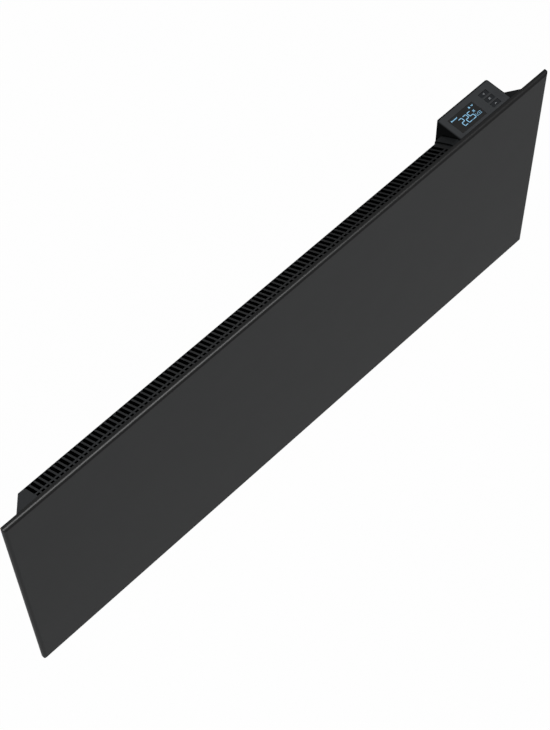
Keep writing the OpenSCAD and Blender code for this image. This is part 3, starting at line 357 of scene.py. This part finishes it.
finishes = {
    # The panel's upper rim takes painted shade
    "panel_paint": powder_coat("panel_paint", (0.019, 0.0198, 0.0204), rough=0.4, specular=0.0108,
                               gloss=0.054, rim=0.12),
    # The casing's slope and the room under its slots take painted shade
    "casing_paint": powder_coat("casing_paint", (0.055, 0.0578, 0.0605), specular=0.004, grille=True),
    # The control's steep walls and eased edges take painted shade
    "control_plastic": plastic("control_plastic", (0.0295, 0.0311, 0.0329), specular=0, wall_shade=0.18),
    # The saddle's steep walls take painted shade, and the strip at the box's left foot a painted shadow
    "base_plastic": plastic("base_plastic", (0.0095, 0.0102, 0.0108), specular=0.002, wall_shade=0.2,
                            tilt=(0.55, 0.78), top=outside_foot_shadow),
    "button_plastic": plastic("button_plastic", (0.0125, 0.0135, 0.015), rough=0.5, specular=0.04),
    "rocker_plastic": plastic("rocker_plastic", (0.012, 0.012, 0.013), rough=0.36),
    "lens_plastic": smooth("lens_plastic", (0.011, 0.011, 0.011), specular=0.08),
    "display_cell": smooth("display_cell", (0.06, 0.07, 0.065)),
    "board": smooth("board", (0.02, 0.16, 0.06), rough=0.3),
    "relay_plastic": smooth("relay_plastic", (0.03, 0.12, 0.38), rough=0.3),
    "part_plastic": plastic("part_plastic", (0.035, 0.036, 0.04)),
    "screen_metal": metal("screen_metal", (0.55, 0.56, 0.57), rough=0.3),
    "bracket_steel": powder_coat("bracket_steel", (0.06, 0.063, 0.066), rough=0.55),
    "latch_steel": metal("latch_steel", (0.62, 0.56, 0.38), rough=0.34, spangle=0.2),
    "zinc_steel": metal("zinc_steel", (0.55, 0.56, 0.58), rough=0.34),
    "shield_steel": metal("shield_steel", (0.6, 0.61, 0.62), rough=0.38, spangle=0.5),
    "element_aluminium": metal("element_aluminium", (0.62, 0.63, 0.64), rough=0.33, line=(0.04, 1, 1)),
    "rod_steel": metal("rod_steel", (0.35, 0.34, 0.33), rough=0.4, line=(0.1, 1, 1)),
    "ceramic": plastic("ceramic", (0.8, 0.77, 0.7), grain=0.8 * mm, rough=0.5),
    "brass": metal("brass", (0.6, 0.45, 0.2), rough=0.3),
    "bimetal_case": plastic("bimetal_case", (0.03, 0.03, 0.032)),
    "block_plastic": plastic("block_plastic", (0.7, 0.68, 0.6), rough=0.4),
    "gland_plastic": plastic("gland_plastic", (0.015, 0.015, 0.016), rough=0.44),
    "rubber": plastic("rubber", (0.014, 0.014, 0.014), rough=0.7, specular=0.2),
    "wire_brown": plastic("wire_brown", (0.16, 0.05, 0.02), rough=0.4),
    "wire_blue": plastic("wire_blue", (0.04, 0.14, 0.4), rough=0.4),
    "wire_black": plastic("wire_black", (0.02, 0.02, 0.022), rough=0.4),
    "sensor_bead": plastic("sensor_bead", (0.75, 0.72, 0.6), rough=0.35),
}


def finish_nodes():
    """Every CAD node takes the finish of the slot that the record gives it."""
    for row in frame["record"]["subparts"]:
        slots = nodes[row["node"]].data.materials
        slots.clear()
        slots.append(finishes[row["material_slot"]])


# Edges of the moulded and folded pieces are eased: radius in millimetres
eased = {"control_cover": 1.5, "control_base": 0.5, "button_plus": 0.7, "button_menu": 0.7,
         "button_minus": 0.7, "rocker_cap": 0.4, "rocker_frame": 0.35, "terminal_block": 0.5,
         "latch_left": 0.3, "latch_right": 0.3, "power_relay": 0.4, "tact_switches": 0.25}


def ease_edges():
    for name, radius in eased.items():
        piece = nodes[name]
        weld = piece.modifiers.new("weld", "WELD")
        weld.merge_threshold = 0.005 * mm
        flat = piece.modifiers.new("flat", "DECIMATE")
        flat.decimate_type = "DISSOLVE"
        flat.angle_limit = math.radians(0.5)
        bevel = piece.modifiers.new("bevel", "BEVEL")
        bevel.width = radius * mm
        bevel.segments = 3
        bevel.limit_method = "ANGLE"
        bevel.angle_limit = math.radians(40)


# Display content: segments, bars and small signs, laid in the window's upper skin

lens_low, lens_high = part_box("display_lens")
skin = 0.06 * mm


def place_in_window(x, y):
    """A place in the window, from its left and its rear edge in millimetres."""
    return lens_low.x + x * mm, lens_high.y - y * mm


def round_bar(start, end, width, steps=5):
    """Outline of a bar with round ends between two points."""
    a, b = Vector(start), Vector(end)
    along = (b - a).normalized()
    turn = math.atan2(along.y, along.x)
    points = []
    for centre, first in ((b, -90), (a, 90)):
        for i in range(steps + 1):
            angle = turn + math.radians(first + 180 * i / steps)
            points.append(centre + Vector((math.cos(angle), math.sin(angle))) * width / 2)
    return points


def disc(centre, radius, steps=14):
    return [Vector(centre) + Vector((math.cos(2 * math.pi * i / steps), math.sin(2 * math.pi * i / steps)))
            * radius for i in range(steps)]


def plate_piece(name, outlines, low, high, finish, body):
    """Thin plates with these outlines between two heights, as one piece on a body."""
    mesh = bmesh.new()
    for outline in outlines:
        foot = [mesh.verts.new((p[0], p[1], low)) for p in outline]
        top = [mesh.verts.new((p[0], p[1], high)) for p in outline]
        mesh.faces.new(top)
        mesh.faces.new(foot[::-1])
        for i in range(len(outline)):
            j = (i + 1) % len(outline)
            mesh.faces.new((foot[i], foot[j], top[j], top[i]))
    data = bpy.data.meshes.new(name)
    mesh.to_mesh(data)
    mesh.free()
    data.materials.append(finish)
    piece = bpy.data.objects.new(name, data)
    bpy.context.scene.collection.objects.link(piece)
    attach(piece, body)
    return piece


# Segments of a digit: their ends as shares of its width and height, from the upper left
segment_shares = {
    "top": ((0, 0), (1, 0)),
    "middle": ((0, 0.5), (1, 0.5)),
    "foot": ((0, 1), (1, 1)),
    "upper_left": ((0, 0), (0, 0.5)),
    "upper_right": ((1, 0), (1, 0.5)),
    "lower_left": ((0, 0.5), (0, 1)),
    "lower_right": ((1, 0.5), (1, 1)),
}
digit_segments = {
    2: ("top", "upper_right", "middle", "lower_left", "foot"),
    5: ("top", "upper_left", "middle", "lower_right", "foot"),
}
digit_w = 5.4
digit_h = 12.5
digit_pitch = 8.0
digit_x = 11.2
digit_y = 9.2
stroke = 1.0
segment_inset = 0.62 * stroke
dot_radius = 0.55 * stroke


def digit_outlines(number, x, y):
    """Bars of one digit whose upper left corner is at x, y in the window."""
    outlines = []
    for name in digit_segments[number]:
        ends = []
        for share_x, share_y in segment_shares[name]:
            ends.append((x + share_x * digit_w, y + share_y * digit_h))
        (x0, y0), (x1, y1) = ends
        if y0 == y1:
            ends = [(x0 + segment_inset, y0), (x1 - segment_inset, y1)]
        else:
            ends = [(x0, y0 + segment_inset), (x1, y1 - segment_inset)]
        outlines.append(round_bar(place_in_window(*ends[0]), place_in_window(*ends[1]), stroke * mm))
    return outlines


# Small signs of the display, as bars from one place to another with their width, in millimetres
warm_air = [(2.6, 5.6), (3.2, 3.4), (4.4, 5.2), (5.1, 4.3), (6.2, 5.4), (7.1, 4.1), (8.2, 5.4), (9.2, 4.1),
            (10.2, 5.4), (11.3, 4.1), (12.3, 5.1), (13.4, 4.1)]
warm_air_widths = [0.8] * 3 + [0.75] * 8
warm_air_bars = list(zip(warm_air, warm_air[1:], warm_air_widths))
flame_bars = [((36.4, 3.4), (35.6, 5.2), 1.0), ((36.4, 3.4), (37.4, 5.2), 1.0),
              ((35.8, 5.6), (37.2, 5.6), 1.0)]
tick_bars = [((40.4, 3.9), (41.9, 5.6), 0.8), ((41.9, 5.6), (43.5, 3.6), 0.8)]
star_bars = [((35.4, 14.4), (38.4, 10.8), 0.6), ((35.4, 11.6), (38.6, 13.6), 0.6),
             ((36.2, 10.9), (37.6, 14.4), 0.5)]
frame_bars = [((34.6, 17.8), (34.6, 22), 0.35), ((34.6, 17.8), (36, 17.8), 0.35),
              ((34.6, 22), (43, 22), 0.35), ((36.3, 20.9), (38.6, 18.2), 0.5),
              ((38.9, 17.8), (43, 17.8), 0.35), ((40.2, 18.4), (40.2, 21.4), 0.35),
              ((40.2, 19.9), (42, 19.9), 0.35), ((43, 17.8), (43, 22), 0.4)]


def display_outlines():
    """Everything that the display shows."""
    outlines = []
    for start, end, width in warm_air_bars + flame_bars + tick_bars + star_bars + frame_bars:
        outlines.append(round_bar(place_in_window(*start), place_in_window(*end), width * mm, 3))
    for i, number in enumerate((2, 2, 5)):
        outlines += digit_outlines(number, digit_x + i * digit_pitch, digit_y)
    dot_x = digit_x + 2 * digit_pitch - (digit_pitch - digit_w) / 2
    outlines.append(disc(place_in_window(dot_x, digit_y + digit_h), dot_radius * mm))
    return outlines


def make_display():
    top = lens_high.z
    segments = glow("segment_light", (0.25, 0.55, 0.8), 1.0)
    plate_piece("display_segments", display_outlines(), top, top + skin, segments, "heater")


# Signs on the three buttons, as bars from the cap's middle in millimetres
button_signs = {
    "button_plus": [((-1.2, 0), (1.2, 0), 0.55), ((0, -1.2), (0, 1.2), 0.55)],
    "button_menu": [((-1.3, 1), (1.3, 1), 0.45), ((-1.3, 0), (1.3, 0), 0.45),
                    ((-1.3, -1), (1.3, -1), 0.45)],
    "button_minus": [((-1.4, -0.6), (0, 0.6), 0.55), ((0, 0.6), (1.4, -0.6), 0.55)],
}
sign_skin = 0.05 * mm


def make_button_signs():
    ink = plastic("sign_ink", (0.22, 0.23, 0.24), rough=0.4)
    for name, bars in button_signs.items():
        low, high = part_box(name)
        middle = (low + high) / 2
        outlines = []
        for start, end, width in bars:
            ends = [(middle.x + x * mm, middle.y + y * mm) for x, y in (start, end)]
            outlines.append(round_bar(*ends, width * mm, 3))
        plate_piece(name + "_sign", outlines, high.z, high.z + sign_skin, ink, name)


# Stage: a floor well under the hung heater that looks white to the camera and still takes a faint shadow
floor_drop = 0.45
floor_half = 12
floor_grey = 0.35
floor_white_share = 0.985


def make_stage():
    data = bpy.data.meshes.new("floor")
    z = cad_box[0].z - floor_drop
    data.from_pydata([(-floor_half, -floor_half, z), (floor_half, -floor_half, z),
                      (floor_half, floor_half, z), (-floor_half, floor_half, z)], [], [(0, 1, 2, 3)])
    floor = bpy.data.objects.new("floor", data)
    bpy.context.scene.collection.objects.link(floor)
    material, tree, shader = start_material("floor_white")
    shader.inputs["Base Color"].default_value = (floor_grey, floor_grey, floor_grey, 1)
    shader.inputs["Roughness"].default_value = 0.9
    shader.inputs["Specular IOR Level"].default_value = 0
    path = node(tree, "LightPath")
    seen = maths(tree, "MAXIMUM", path.outputs["Is Camera Ray"], path.outputs["Is Glossy Ray"])
    white = node(tree, "Emission", Color=(1, 1, 1, 1), Strength=1.0)
    share = maths(tree, "MULTIPLY", seen, floor_white_share)
    mix = node(tree, "MixShader")
    tree.links.new(share, mix.inputs[0])
    tree.links.new(shader.outputs[0], mix.inputs[1])
    tree.links.new(white.outputs[0], mix.inputs[2])
    tree.links.new(mix.outputs[0], tree.nodes["Material Output"].inputs["Surface"])
    data.materials.append(material)


# Light from the world around the heater, which the camera and glossy faces see as plain white
ambient = 0.04


def make_world():
    world = bpy.data.worlds.new("studio")
    bpy.context.scene.world = world
    world.use_nodes = True
    tree = world.node_tree
    back = tree.nodes["Background"]
    back.inputs["Color"].default_value = (1, 1, 1, 1)
    path = node(tree, "LightPath")
    seen = path.outputs["Is Camera Ray"]
    for name in ("Is Glossy Ray", "Is Transmission Ray"):
        seen = maths(tree, "MAXIMUM", seen, path.outputs[name])
    level = node(tree, "MapRange", Value=seen, To_Min=ambient, To_Max=1.0)
    tree.links.new(level.outputs["Result"], back.inputs["Strength"])


def soft_light(name, place, aim, size, power):
    data = bpy.data.lights.new(name, "AREA")
    data.shape = "DISK"
    data.size = size
    data.energy = power
    lamp = bpy.data.objects.new(name, data)
    bpy.context.scene.collection.objects.link(lamp)
    lamp.location = place
    lamp.rotation_euler = (Vector(aim) - Vector(place)).to_track_quat("-Z", "Y").to_euler()


# Lamps, each with its place and its size in metres and its power in watts, all aimed at the heater's middle
lamps = {
    "light_behind": ((0.9, 2.2, -0.4), 0.3, 26),
    "light_left": ((-1.3, 0.4, 1.4), 0.8, 26),
    "light_front": ((0.45, -1.6, 2.82), 1.9, 118),
}


def make_lights():
    middle = (cad_box[0] + cad_box[1]) / 2
    make_world()
    for name, (place, size, power) in lamps.items():
        soft_light(name, place, middle, size, power)


bpy.context.scene.view_settings.view_transform = "Standard"
make_camera()
finish_nodes()
ease_edges()
make_display()
make_button_signs()
make_stage()
make_lights()
